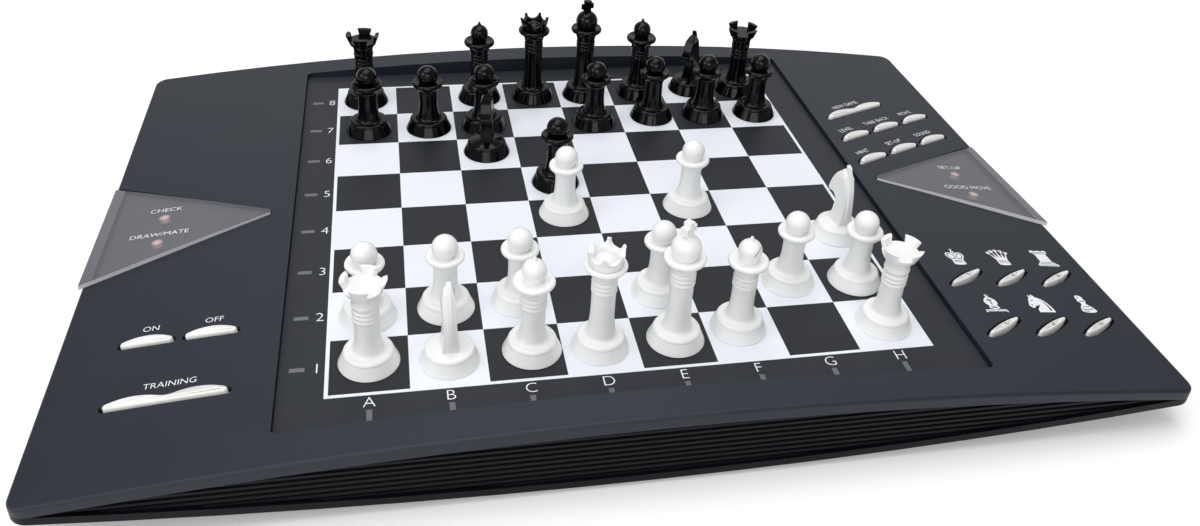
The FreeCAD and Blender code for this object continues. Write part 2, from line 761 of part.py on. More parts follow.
def bottom_cover():
    inside_x = HALF_WIDTH - WALL
    inside_y = HALF_DEPTH - RIM
    hollow = between(CROWN, KEEL.inner(WALL), inside_x, -inside_y, inside_y)
    tray = tray_blank().cut(hollow)
    front = rib_wall()
    extras = [front, front.mirror(Vector(0, 0, 0), Vector(0, 1, 0)), bay_walls()]
    ring = rod(SPEAKER_RADIUS + WALL / 2, SPEAKER_X, SPEAKER_Y, FLOOR_GAP, SPEAKER_SEAT)
    extras.append(ring.cut(rod(SPEAKER_RADIUS - WALL, SPEAKER_X, SPEAKER_Y, 0, CREST)).common(keel_room()))
    for x, y in pillar_places():
        extras.append(rod(PILLAR_RADIUS, x, y, FLOOR_GAP, MAIN_LIFT).common(keel_room()))
    for x, y in screw_places():
        extras.append(rod(POST_RADIUS, x, y, FLOOR_GAP, screw_seat(x) + SCREW_FLOOR).common(keel_room()))
    for x, y in foot_places():
        extras.append(rod(FOOT_RADIUS + FOOT_SEAT_RIM, x, y, FOOT_HEIGHT, KEEL.height(x) + WALL))
    tray = joined(tray, extras)
    half_x = bay_half_length()
    half_y = bay_half_width()
    cuts = [box(-half_x, half_x, BAY_Y - half_y, BAY_Y + half_y, 0, bay_roof())]
    pin_y, pin_z = hinge_axis()
    cuts.append(cross_rod(HINGE_PIN + HINGE_PLAY, half_x + 2 * BAY_WALL, pin_y, pin_z))
    for k in range(GRILLE_SLOTS):
        x = SPEAKER_X + (k - (GRILLE_SLOTS - 1) / 2) * GRILLE_PITCH
        cuts.append(upright_box(x, SPEAKER_Y, GRILLE_SLOT / 2, GRILLE_LENGTH / 2, 0, SPEAKER_SEAT))
    for x, y in screw_places():
        cuts.append(rod(SCREW_RADIUS + SCREW_PLAY, x, y, 0, CREST))
        cuts.append(rod(SCREW_HEAD + HEAD_PLAY, x, y, 0, screw_seat(x)))
    return tray.cut(cuts)


def keel_room():
    """The room over the underside's outer surface."""
    return above_keel(CREST, HALF_WIDTH - WALL, -HALF_DEPTH, HALF_DEPTH)


def cross_rod(radius, reach, y, z):
    return Part.makeCylinder(radius, 2 * reach, Vector(-reach, y, z), Vector(1, 0, 0))


def battery_door():
    """A plate that follows the keel, with two hinge pins near its back edge and a thumb notch."""
    half_x = bay_half_length() - DOOR_PLAY
    pin_y, pin_z = hinge_axis()
    front = BAY_Y - bay_half_width() + DOOR_PLAY
    plate = between(KEEL.inner(WALL), KEEL, half_x, front, pin_y + HINGE_EDGE)
    root = half_x - WALL
    reach = half_x + DOOR_PLAY + HINGE_PIN_LENGTH - root
    pins = []
    for way in (-1, 1):
        start = Vector(way * root, pin_y, pin_z)
        pins.append(Part.makeCylinder(HINGE_PIN, reach, start, Vector(way, 0, 0)))
    notch = upright_box(0, front, THUMB_WIDTH / 2, THUMB_DEEP, 0, FLOOR_GAP + THUMB_RISE)
    return joined(plate, pins).cut(notch)


def battery_cells():
    cells = []
    for k in range(CELL_COUNT):
        y = BAY_Y + (k - (CELL_COUNT - 1) / 2) * (2 * CELL_RADIUS + CELL_PLAY)
        way = 1 if k % 2 == 0 else -1
        can_length = CELL_LENGTH - CELL_NUB
        axis = Vector(way, 0, 0)
        start = Vector(-way * CELL_LENGTH / 2, y, cell_centre_height())
        can = Part.makeCylinder(CELL_RADIUS, can_length, start, axis)
        nub = Part.makeCylinder(CELL_NUB_RADIUS, CELL_LENGTH, start, axis)
        cells.append(can.fuse(nub).removeSplitter())
    return cells


# Board film and the pressure sensor under it
def recess_sheet(z0, z1):
    corner = RECESS_CORNER - FILM_PLAY
    return rounded_box(RECESS_HALF - FILM_PLAY, RECESS_DEPTH / 2 - FILM_PLAY, corner, z0, z1)


def board_film():
    return recess_sheet(FILM_TOP - FILM, FILM_TOP)


def sensor_membrane():
    along, across = slot_boxes(LAMP_PLAY, DECK_TOP - FILM, FILM_TOP)
    return recess_sheet(DECK_TOP, FILM_TOP - FILM).cut(along + across)


def indicator_windows():
    plate = window_prism(0).common(window_slab(WINDOW_RAISE, WINDOW_RAISE - WINDOW_THICK))
    return both_sides(plate)


# Circuit boards with their lamps, and the rubber mats on them
def lamp_dome(height):
    radius = LAMP_DIAMETER / 2
    post = rod(radius, 0, 0, 0, height - radius)
    dome = Part.makeSphere(radius, Vector(0, 0, height - radius))
    return post.fuse(dome).removeSplitter()


def key_board(side, front, back):
    half = KEY_BOARD_WIDTH / 2
    board = box(-half, half, front, back, -KEY_BOARD_DROP - KEY_BOARD, -KEY_BOARD_DROP)
    board = placed(board, key_board_frame(side))
    lamp_height = KEY_BOARD_DROP + WINDOW_RAISE - WINDOW_THICK - 2 * LAMP_PLAY
    lamps = []
    for x, y in lamp_places():
        if x * side > 0:
            foot = Placement(Vector(0, 0, -KEY_BOARD_DROP), Rotation())
            lamps.append(placed(lamp_dome(lamp_height), on_crown(x, y).multiply(foot)))
    return joined(board, lamps)


def lamp_strips():
    z0 = DECK_BOTTOM - KEY_BOARD
    half = STRIP_WIDTH / 2
    end = 4 * SQUARE - STRIP_END
    rank_x = rank_slots()[0][0]
    file_y = file_slots()[0][1]
    rank_strip = box(rank_x - half, rank_x + half, BOARD_BACK - end, BOARD_BACK + end, z0, DECK_BOTTOM)
    file_strip = box(-end, end, file_y - half, file_y + half, z0, DECK_BOTTOM)
    along, across = slot_boxes(-LAMP_PLAY, DECK_BOTTOM - SEAM, DECK_BOTTOM + LAMP_HEIGHT)
    return [joined(rank_strip, along), joined(file_strip, across)]


def pillar_places():
    x = MAIN_LENGTH / 2 - PILLAR_INSET
    y = MAIN_WIDTH / 2 - PILLAR_INSET
    return [(MAIN_X + i * x, MAIN_Y + j * y) for i in (-1, 1) for j in (-1, 1)]


def main_board():
    top = MAIN_LIFT + MAIN_THICK
    half_x = MAIN_LENGTH / 2
    half_y = MAIN_WIDTH / 2
    board = upright_box(MAIN_X, MAIN_Y, half_x, half_y, MAIN_LIFT, top)
    ball = (CHIP_RADIUS ** 2 + CHIP_HEIGHT ** 2) / (2 * CHIP_HEIGHT)
    chip = Part.makeSphere(ball, Vector(MAIN_X, MAIN_Y, top + CHIP_HEIGHT - ball))
    chip = chip.common(rod(CHIP_RADIUS + WALL, MAIN_X, MAIN_Y, top - MAIN_THICK / 2, CREST))
    side_x = MAIN_X + half_x / 2
    side_y = MAIN_Y + half_y / 2
    capacitor = rod(CHIP_RADIUS / 2, side_x, side_y, top - SEAM, top + 2 * CHIP_HEIGHT)
    return joined(board, [chip, capacitor])


def circuit_boards():
    boards = [key_board(*run) for run in key_board_runs()]
    return boards + lamp_strips() + [main_board()]


def key_mats():
    mats = []
    half = KEY_BOARD_WIDTH / 2
    for side, keys in mat_runs():
        front, back = mat_span(keys)
        frame = key_board_frame(side)
        low = -KEY_BOARD_DROP
        sheet = box(-half, half, front, back, low, low + MAT_SHEET)
        domes = []
        for key in keys:
            for point in key.press_points():
                spot = frame.inverse().multVec(key.place.multVec(point))
                domes.append(rod(MAT_DOME_RADIUS, spot.x, spot.y, low, low + MAT_SHEET + MAT_DOME))
        mats.append(placed(joined(sheet, domes), frame))
    return mats


def speaker():
    """Flange on the ring, cone housing and magnet above it."""
    z = SPEAKER_SEAT
    flange = rod(SPEAKER_RADIUS, SPEAKER_X, SPEAKER_Y, z, z + SPEAKER_FLANGE)
    cone_foot = Vector(SPEAKER_X, SPEAKER_Y, z + SPEAKER_FLANGE)
    cone = Part.makeCone(SPEAKER_RADIUS - WALL, MAGNET_RADIUS, SPEAKER_CONE, cone_foot)
    magnet_z = z + SPEAKER_FLANGE + SPEAKER_CONE
    magnet = rod(MAGNET_RADIUS, SPEAKER_X, SPEAKER_Y, magnet_z, magnet_z + MAGNET_HEIGHT)
    mouth = Vector(SPEAKER_X, SPEAKER_Y, z)
    hollow = Part.makeCone(SPEAKER_RADIUS - 2 * WALL, MAGNET_RADIUS - WALL, SPEAKER_CONE, mouth)
    return joined(flange, [cone, magnet]).cut(hollow)


def housing_screws():
    screws = []
    for x, y in screw_places():
        seat = screw_seat(x)
        head = rod(SCREW_HEAD, x, y, seat - SCREW_HEAD_HEIGHT, seat)
        shank = rod(SCREW_RADIUS, x, y, seat - SCREW_HEAD_HEIGHT / 2, seat + SCREW_LENGTH)
        low = seat - SCREW_HEAD_HEIGHT
        deep = low + SCREW_HEAD_HEIGHT / 3
        slit = DRIVE_SLIT / 2
        drive = [box(x - DRIVE_REACH, x + DRIVE_REACH, y - slit, y + slit, low, deep)]
        drive.append(box(x - slit, x + slit, y - DRIVE_REACH, y + DRIVE_REACH, low, deep))
        screws.append(head.fuse(shank).removeSplitter().cut(drive))
    return screws


def rubber_feet():
    feet = []
    for x, y in foot_places():
        foot = rod(FOOT_RADIUS, x, y, 0, FOOT_HEIGHT)
        rim = [e for e in foot.Edges if all(abs(v.Z) < 1e-6 for v in e.Vertexes) and e.Length > FOOT_RADIUS]
        rim = [e for e in rim if abs(e.CenterOfMass.z) < 1e-6]
        feet.append(foot.makeFillet(FOOT_HEIGHT / 4, rim))
    return feet


# Chess pieces, turned about their own axis
class Turning:
    """Draws half a profile from the middle of the underside up to the top, then spins it."""

    def __init__(self):
        self.at = Vector(0, 0, 0)
        self.edges = []

    def line(self, r, z):
        end = Vector(r, 0, z)
        self.edges.append(line(self.at, end))
        self.at = end
        return self

    def arc(self, r_mid, z_mid, r, z):
        end = Vector(r, 0, z)
        self.edges.append(Part.Arc(self.at, Vector(r_mid, 0, z_mid), end).toShape())
        self.at = end
        return self

    def cap(self, top):
        """Closes the top with part of a ball centred on the axis."""
        rise = top - self.at.z
        radius = (self.at.x ** 2 + rise ** 2) / (2 * rise)
        centre = top - radius
        start = math.atan2(self.at.z - centre, self.at.x)
        middle = (start + math.pi / 2) / 2
        return self.arc(radius * math.cos(middle), centre + radius * math.sin(middle), 0, top)

    def spin(self):
        if self.at.x > 0:
            self.line(0, self.at.z)
        self.edges.append(line(self.at, Vector(0, 0, 0)))
        face = Part.Face(Part.Wire(self.edges))
        return face.revolve(Vector(0, 0, 0), Vector(0, 0, 1), 360)


def foot_profile():
    """The flared foot that every piece stands on, up to its rounded shoulder."""
    shoulder = BASE_HEIGHT - BASE_ROUND
    edge = BASE_TOP_RADIUS - BASE_ROUND
    turning = Turning()
    turning.line(BASE_RADIUS - BASE_LIP, 0)
    turning.arc(BASE_RADIUS - BASE_LIP / 3, BASE_LIP / 3, BASE_RADIUS, BASE_LIP)
    turning.line(BASE_TOP_RADIUS, shoulder)
    turning.arc(edge + BASE_ROUND * 0.7, shoulder + BASE_ROUND * 0.75, edge, BASE_HEIGHT)
    return turning


def stem_foot():
    """The foot with a fillet that leads into the stem."""
    turning = foot_profile()
    turning.line(STEM_FOOT + STEM_FILLET, BASE_HEIGHT)
    hollow = 0.3 * STEM_FILLET
    return turning.arc(STEM_FOOT + hollow, BASE_HEIGHT + hollow, STEM_FOOT, BASE_HEIGHT + STEM_FILLET)


def stem_profile(turning, top, beads):
    """A slightly waisted stem, with fine beads under its top if there are any."""
    stem_end = top - (beads + 1) * BEAD_PITCH if beads else top
    start = turning.at.z
    waist = start + (stem_end - start) * WAIST_SHARE
    turning.arc((3 * STEM_RADIUS + STEM_FOOT) / 4, (start + waist) / 2, STEM_RADIUS, waist)
    turning.line(STEM_RADIUS, stem_end)
    for k in range(beads):
        low = stem_end + k * BEAD_PITCH
        turning.arc(STEM_RADIUS + BEAD, low + BEAD_PITCH / 2, STEM_RADIUS, low + BEAD_PITCH)
    turning.line(STEM_TOP, top)
    return turning


def collar_profile(turning, height, radius, neck):
    """The saucer under a head, widest at the given height."""
    rim = radius - COLLAR_EDGE
    flare = rim - turning.at.x
    rise = height - COLLAR_EDGE - turning.at.z
    turning.arc(turning.at.x + 0.4 * flare, turning.at.z + 0.6 * rise, rim, height - COLLAR_EDGE)
    turning.arc(radius, height, rim, height + COLLAR_EDGE)
    turning.line(neck, height + COLLAR_EDGE / 2)
    return turning


def collared(height, radius, neck, beads):
    drop = radius - STEM_TOP
    turning = stem_profile(stem_foot(), height - COLLAR_EDGE - drop, beads)
    return collar_profile(turning, height, radius, neck)


def ball_on(turning, neck, radius, top):
    """A ball that ends at the given height, sitting on a neck."""
    centre = top - radius
    sit = centre - math.sqrt(radius ** 2 - neck ** 2)
    turning.line(neck, sit)
    return turning.cap(top)


def pawn():
    turning = collared(PAWN_COLLAR, PAWN_COLLAR_RADIUS, PAWN_NECK, 0)
    return ball_on(turning, PAWN_NECK, PAWN_BALL, PAWN_HEIGHT).spin()


def bishop():
    """A ball with a small point, slit from the front."""
    turning = collared(BISHOP_COLLAR, BISHOP_COLLAR_RADIUS, BISHOP_NECK, BEAD_COUNT)
    seat = BISHOP_WIDEST - math.sqrt(BISHOP_HEAD ** 2 - BISHOP_NECK ** 2)
    crest = BISHOP_WIDEST + math.sqrt(BISHOP_HEAD ** 2 - BISHOP_TIP ** 2)
    turning.line(BISHOP_NECK, seat)
    turning.arc(BISHOP_HEAD, BISHOP_WIDEST, BISHOP_TIP, crest)
    turning.line(BISHOP_TIP / 2, BISHOP_HEIGHT - BISHOP_TIP / 2)
    head = turning.cap(BISHOP_HEIGHT).spin()
    cut = box(0, 2 * BISHOP_HEAD, -2 * BISHOP_HEAD, 2 * BISHOP_HEAD, -BISHOP_CUT / 2, BISHOP_CUT / 2)
    cut.rotate(Vector(0, 0, 0), Vector(0, 1, 0), -BISHOP_CUT_TILT)
    cut.translate(Vector(BISHOP_HEAD / 3, 0, BISHOP_WIDEST))
    return head.cut(cut)


def queen():
    cup = QUEEN_CROWN - QUEEN_CROWN_WALL
    seat = QUEEN_COLLAR + COLLAR_EDGE / 2
    turning = collared(QUEEN_COLLAR, QUEEN_COLLAR_RADIUS, cup, BEAD_COUNT)
    turning.line(QUEEN_CROWN, QUEEN_HEIGHT)
    turning.line(cup, QUEEN_HEIGHT)
    floor = seat + QUEEN_CROWN_WALL
    turning.line(cup - QUEEN_CROWN_WALL, floor)
    crown = turning.cap(floor + cup / 2).spin()
    keep = rod(QUEEN_CROWN / 2, 0, 0, 0, QUEEN_HEIGHT)
    scallops = []
    for k in range(QUEEN_POINT_COUNT):
        bite = Part.makeCylinder(QUEEN_SCALLOP, 2 * QUEEN_CROWN, Vector(0, 0, QUEEN_HEIGHT), Vector(1, 0, 0))
        bite.rotate(Vector(0, 0, 0), Vector(0, 0, 1), (2 * k + 1) * 180 / QUEEN_POINT_COUNT)
        scallops.append(bite.cut(keep))
    return crown.cut(scallops)


def cross():
    """A short cross with arms that widen outwards, its foot sunk in the ball."""
    low = KING_BALL_TOP - CROSS_BAR / 2
    half = CROSS_BAR / 2
    pinch = CROSS_PINCH / 2
    reach = CROSS_WIDTH / 2
    right = [(half, low), (pinch, CROSS_ARMS - pinch), (reach, CROSS_ARMS - half), (reach, CROSS_ARMS + half)]
    right += [(pinch, CROSS_ARMS + pinch), (half, KING_HEIGHT)]
    points = right + [(-x, z) for x, z in reversed(right)]
    corners = [Vector(x, -CROSS_THICK / 2, z) for x, z in points]
    return Part.Face(Part.makePolygon(corners + corners[:1])).extrude(Vector(0, CROSS_THICK, 0))


def king():
    turning = collared(KING_COLLAR, KING_COLLAR_RADIUS, KING_NECK, BEAD_COUNT)
    body = ball_on(turning, KING_NECK, KING_BALL, KING_BALL_TOP).spin()
    return joined(body, [cross()])


def rook():
    turning = stem_profile(stem_foot(), ROOK_NECK, BEAD_COUNT)
    flare = ROOK_CROWN - ROOK_WALL
    bend = (STEM_TOP + flare) / 2 - ROOK_WALL / 3
    turning.arc(bend, (ROOK_NECK + ROOK_FLOOR) / 2, flare, ROOK_FLOOR - ROOK_WALL)
    turning.line(ROOK_CROWN, ROOK_HEIGHT)
    turning.line(ROOK_CROWN - ROOK_WALL, ROOK_HEIGHT)
    turning.line(flare - ROOK_WALL / 2, ROOK_FLOOR)
    tower = turning.spin()
    gaps = []
    for turn in (45, 135):
        half = ROOK_GAP / 2
        gap = box(-2 * ROOK_CROWN, 2 * ROOK_CROWN, -half, half, ROOK_FLOOR, ROOK_HEIGHT + WALL)
        gap.rotate(Vector(0, 0, 0), Vector(0, 0, 1), turn)
        gaps.append(gap)
    return tower.cut(gaps)


def knight_point(spot):
    return Vector(spot[0], 0, spot[1] * KNIGHT_HEIGHT)


def knight_arc(*spots):
    return Part.Arc(*[knight_point(spot) for spot in spots]).toShape()


def knight_lines(*spots):
    points = [knight_point(spot) for spot in spots]
    return [line(a, b) for a, b in zip(points, points[1:])]


def knight_side():
    """Side view of a horse's head on its neck, facing along X."""
    edges = [
        knight_arc(KNIGHT_CHEST, KNIGHT_CHEST_BEND, KNIGHT_THROAT),
        knight_arc(KNIGHT_THROAT, KNIGHT_JAW_BEND, KNIGHT_JAW),
        knight_arc(KNIGHT_JAW, KNIGHT_LIP_BEND, KNIGHT_NOSE),
        knight_arc(KNIGHT_NOSE, KNIGHT_FACE_BEND, KNIGHT_BROW),
    ]
    edges += knight_lines(KNIGHT_BROW, KNIGHT_EAR, KNIGHT_NAPE)
    edges.append(knight_arc(KNIGHT_NAPE, KNIGHT_BACK_BEND, KNIGHT_BACK))
    edges += knight_lines(KNIGHT_BACK, KNIGHT_CHEST)
    return Part.Face(Part.Wire(edges))


def knight_front():
    """Front view of the neck and the ears, drawn in the same plane and turned to face along X."""
    def other(spot):
        return (-spot[0], spot[1])
    right = [knight_arc(NECK_SIDE, NECK_SIDE_BEND, CHEEK_SIDE)] + knight_lines(CHEEK_SIDE, EAR_SIDE, EAR_TIP)
    over = knight_lines(EAR_TIP, other(EAR_TIP), other(EAR_SIDE), other(CHEEK_SIDE))
    left = [knight_arc(other(CHEEK_SIDE), other(NECK_SIDE_BEND), other(NECK_SIDE))]
    face = Part.Face(Part.Wire(right + over + left + knight_lines(other(NECK_SIDE), NECK_SIDE)))
    face.rotate(Vector(0, 0, 0), Vector(0, 0, 1), 90)
    return face


def knight_mane():
    """The narrow ridge down the back of the neck."""
    edges = knight_lines(MANE_ROOT, MANE_TIP, MANE_CREST)
    edges.append(knight_arc(MANE_CREST, MANE_BEND, MANE_END))
    edges += knight_lines(MANE_END, MANE_ROOT)
    return run_back(Part.Face(Part.Wire(edges)), -MANE_THICK / 2, MANE_THICK / 2)


def knight():
    foot = foot_profile().cap(BASE_HEIGHT + KNIGHT_SEAT_RISE).spin()
    head = run_back(knight_side(), -BASE_RADIUS, BASE_RADIUS)
    front = knight_front().translated(Vector(-BASE_RADIUS, 0, 0)).extrude(Vector(2 * BASE_RADIUS, 0, 0))
    head = head.common(front)
    head = head.makeChamfer(KNIGHT_EDGE, [e for e in head.Edges if long_side_edge(e)])
    pits = []
    for spot, radius in ((EYE_SPOT, EYE_RADIUS), (NOSTRIL_SPOT, NOSTRIL_RADIUS)):
        for way in (-1, 1):
            floor = knight_point(spot) + Vector(0, way * (CHEEK_SIDE[0] - radius / 2), 0)
            pits.append(Part.makeCylinder(radius, BASE_RADIUS, floor, Vector(0, way, 0)))
    return joined(foot, [head, knight_mane()]).cut(pits)


def long_side_edge(edge):
    """Edges along the two sides of the horse's head, above its seat and not level."""
    first, last = edge.ParameterRange
    points = [edge.valueAt(first + (last - first) * share) for share in (0.0, 0.5, 1.0)]
    one_side = all(p.y > 0 for p in points) or all(p.y < 0 for p in points)
    level = abs(points[0].z - points[2].z) < SEAM
    return one_side and not level and points[1].z > BASE_HEIGHT


# How the game stands: square, turn in degrees, then a nudge to the right and to the back
WHITE_GAME = [
    ("rook", "a1", -15, 0.0, 1.3), ("knight", "b1", 92, 0.5, -0.6), ("bishop", "c1", 40, 2.3, 0.6),
    ("queen", "d1", 12, 0.0, -0.2), ("king", "e1", 40, 1.0, 0.3), ("bishop", "f1", -20, -0.9, 3.3),
    ("rook", "h1", 32, 1.0, -0.2), ("pawn", "a2", 0, -0.3, -1.0), ("pawn", "b2", 0, 0.9, 0.2),
    ("pawn", "c2", 0, 1.2, 1.4), ("pawn", "e2", 0, 0.9, 0.5), ("pawn", "g2", 0, 0.0, 1.1),
    ("pawn", "h2", 0, 0.1, -1.1), ("knight", "h3", 101, 4.4, 3.1), ("pawn", "d4", 0, 0.2, 2.4),
    ("pawn", "f4", 0, 0.5, 2.6),
]
BLACK_GAME = [
    ("rook", "a8", -8, -1.0, 1.0), ("bishop", "c8", 60, 0.6, 0.3), ("queen", "d8", 0, 0.5, 0.0),
    ("king", "e8", 35, -0.4, -0.7), ("bishop", "f8", 150, 1.0, -0.4), ("knight", "g8", -131, 2.0, 1.6),
    ("rook", "h8", 28, -0.2, -1.2), ("pawn", "a7", 0, 0.3, -0.6), ("pawn", "b7", 0, 1.0, -0.9),
    ("pawn", "c7", 0, 0.3, -0.8), ("pawn", "e7", 0, 0.0, -2.1), ("pawn", "f7", 0, 2.5, 1.2),
    ("pawn", "g7", 0, 2.1, 1.0), ("pawn", "h7", 0, 1.6, 0.2), ("knight", "c6", -100, -0.5, 1.7),
    ("pawn", "d5", 0, 0.2, 0.0),
]


def chess_pieces():
    shapes = {maker.__name__: maker() for maker in (pawn, rook, knight, bishop, queen, king)}
    nodes = {}
    for colour, game in (("white", WHITE_GAME), ("black", BLACK_GAME)):
        for kind, square, turn, right, back in game:
            x = ("abcdefgh".index(square[0]) - 3.5) * SQUARE + right
            y = (int(square[1]) - 4.5) * SQUARE + BOARD_BACK + back
            spot = Placement(Vector(x, y, FILM_TOP), Rotation(Vector(0, 0, 1), turn))
            nodes[f"{colour}_{kind}_{square}"] = placed(shapes[kind], spot)
    return nodes


def as_group(solids):
    return Part.makeCompound(solids)


def main():
    nodes = {
        "top_cover": top_cover(),
        "bottom_cover": bottom_cover(),
        "board_film": board_film(),
        "sensor_membrane": sensor_membrane(),
        "indicator_windows": as_group(indicator_windows()),
        "circuit_boards": as_group(circuit_boards()),
        "key_mats": as_group(key_mats()),
        "speaker": speaker(),
        "battery_door": battery_door(),
        "battery_cells": as_group(battery_cells()),
        "housing_screws": as_group(housing_screws()),
        "rubber_feet": as_group(rubber_feet()),
    }
    nodes.update({key.name: key.solid() for key in KEYS})
    nodes.update(chess_pieces())
    os.makedirs("parts", exist_ok=True)
    for name, shape in nodes.items():
        shape.exportStep(f"parts/{name}.step")
        print(name, "valid" if shape.isValid() else "NOT VALID", len(shape.Solids), round(shape.Volume, 2))


main()
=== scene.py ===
import json
import math
import bpy
from mathutils import Euler, Matrix, Vector

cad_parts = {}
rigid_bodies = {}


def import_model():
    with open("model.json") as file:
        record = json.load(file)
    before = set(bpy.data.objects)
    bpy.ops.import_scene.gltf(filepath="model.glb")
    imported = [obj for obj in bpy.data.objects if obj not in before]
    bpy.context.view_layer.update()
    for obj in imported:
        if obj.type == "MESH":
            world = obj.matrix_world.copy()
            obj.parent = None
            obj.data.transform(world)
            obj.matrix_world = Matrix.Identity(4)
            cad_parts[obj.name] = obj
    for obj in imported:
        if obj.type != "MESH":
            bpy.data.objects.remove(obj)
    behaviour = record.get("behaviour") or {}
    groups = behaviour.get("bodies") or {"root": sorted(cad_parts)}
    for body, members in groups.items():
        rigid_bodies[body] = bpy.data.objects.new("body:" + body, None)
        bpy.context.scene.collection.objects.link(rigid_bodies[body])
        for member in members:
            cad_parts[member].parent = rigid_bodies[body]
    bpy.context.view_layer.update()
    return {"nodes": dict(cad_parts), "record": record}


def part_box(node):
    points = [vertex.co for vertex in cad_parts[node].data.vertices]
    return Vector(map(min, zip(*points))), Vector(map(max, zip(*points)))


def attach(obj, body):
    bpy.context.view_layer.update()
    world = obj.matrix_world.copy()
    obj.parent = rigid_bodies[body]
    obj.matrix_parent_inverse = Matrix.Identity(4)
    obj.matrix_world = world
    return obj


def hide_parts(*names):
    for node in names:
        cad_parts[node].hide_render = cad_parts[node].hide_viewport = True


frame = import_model()
NODES = frame["nodes"]

# Board, in metres: squares, border line and the light windows beside the ranks and files
SQUARE = 0.024
BOARD_BACK = 0.001
FIELD = 4 * SQUARE
BORDER_LINE = 0.0012
SLOT_OUT = 0.0095
SLOT_HALF_LENGTH = 0.0023
SLOT_HALF_WIDTH = 0.00085

# Indicator windows: their clouded outer strip, the lamps, and the painted pink glow over each lamp
WINDOW_CLOUD = 0.1755
WINDOW_ALPHA = 0.42
LAMP_X = 0.1572
LAMP_YS = (0.0064, -0.0097)
LAMP_REACH = 0.0022
LAMP_LEVEL = 0.0134
PAINTED_GLOW_RADIUS = 0.0023
PAINTED_GLOW_FRONT = 0.0005
PAINTED_GLOW_ALPHA = 0.45

# Limits of the normal on the windows' front and back edges
EDGE_WAY = 0.3
EDGE_RISE = 0.5

# Key caps: turns in degrees, depths from the CAD key's top, and how far behind a key the cover is met
KEY_TURN = 26.42
PIECE_KEY_TURN = 28.0
KEY_CAP = 0.0012
KEY_SINK = 0.0006
KEY_SHADE = 0.0036
KEY_CLEAR = 0.006

# Limits for picking a cap's flat top, merging points and shading smooth
TOP_PLAY = 0.00002
TOP_WAY = 0.99
MERGE_REACH = 0.000001
SMOOTH_ANGLE = 50

# Rings of a domed cap: the share of the ring before it, and its rise
LENS_DOME = ((0.86, 0.0002), (0.8, 0.00013), (0.66, 0.00008), (0.4, 0.00004))
MOON_DOME = ((0.95, 0.0001), (0.94, 0.00005))

# Print: stroke changes, heights of the signs and their distance from what they name
PRINT_LIFT = 0.0001
PRINT_THIN = -0.007
BOARD_THIN = -0.015
CURVE_STEPS = 4
RANK_HEIGHT = 0.004
RANK_OUT = 0.0036
FILE_HEIGHT = 0.0039
FILE_OUT = 0.0041
LEVEL_HEIGHT = 0.0023
LEVEL_OUT = 0.0057
SLANTED_HEIGHT = 0.0022
SLANTED_OUT = 0.0058
PIECE_HEIGHT = 0.0096
PIECE_ASIDE = 0.0022
PIECE_OUT = 0.0122
WINDOW_HEIGHT = 0.0024
WINDOW_OUT = 0.0046

# Light levels, and the soft lamps with their place, size and power
SKY_LIGHT = 0.3
FLOOR_GLOW = 0.18
FLOOR_SIZE = 8.0
SOFT_LAMPS = {
    "overhead": ((-0.1, 0.1, 1.35), (1.5, 1.1), 12.3),
    "back_sheen": ((0.3, 1.5, 0.75), (2.6, 0.8), 3.2),
    "left_fill": ((-1.2, -0.5, 0.8), (0.8, 0.8), 5.0),
    "front_fill": ((-0.2, -1.4, 0.7), (1.2, 0.7), 6.4),
}

# Camera at the photograph's viewing angle
CAMERA_AT = (-0.07206, -0.3307, 0.2470)
CAMERA_AZIMUTH = -12.447
CAMERA_ELEVATION = 31.123
CAMERA_ROLL = 3.792
SENSOR = 36.0
LENS = 31.4956
SHIFT_X = 0.0033
SHIFT_Y = -0.0942
NEAREST = 0.01


# Selecting, joining and changing mode
def deselect():
    bpy.ops.object.select_all(action="DESELECT")


def choose(objects):
    deselect()
    for piece in objects:
        piece.select_set(True)
    bpy.context.view_layer.objects.active = objects[-1]


def joined(objects, name):
    choose(objects)
    if len(objects) > 1:
        bpy.ops.object.join()
    piece = bpy.context.object
    piece.name = name
    piece.data.name = name
    return piece


def to_mode(mode):
    bpy.ops.object.mode_set(mode=mode)


# Places on the part
def surface(node, x, y):
    """The point on top of a part at a place in plan, with the way it faces there."""
    _, point, normal, _ = NODES[node].ray_cast(Vector((x, y, 1.0)), Vector((0, 0, -1.0)))
    return point, normal


def key_middle(node):
    low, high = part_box(node)
    return (low + high) / 2


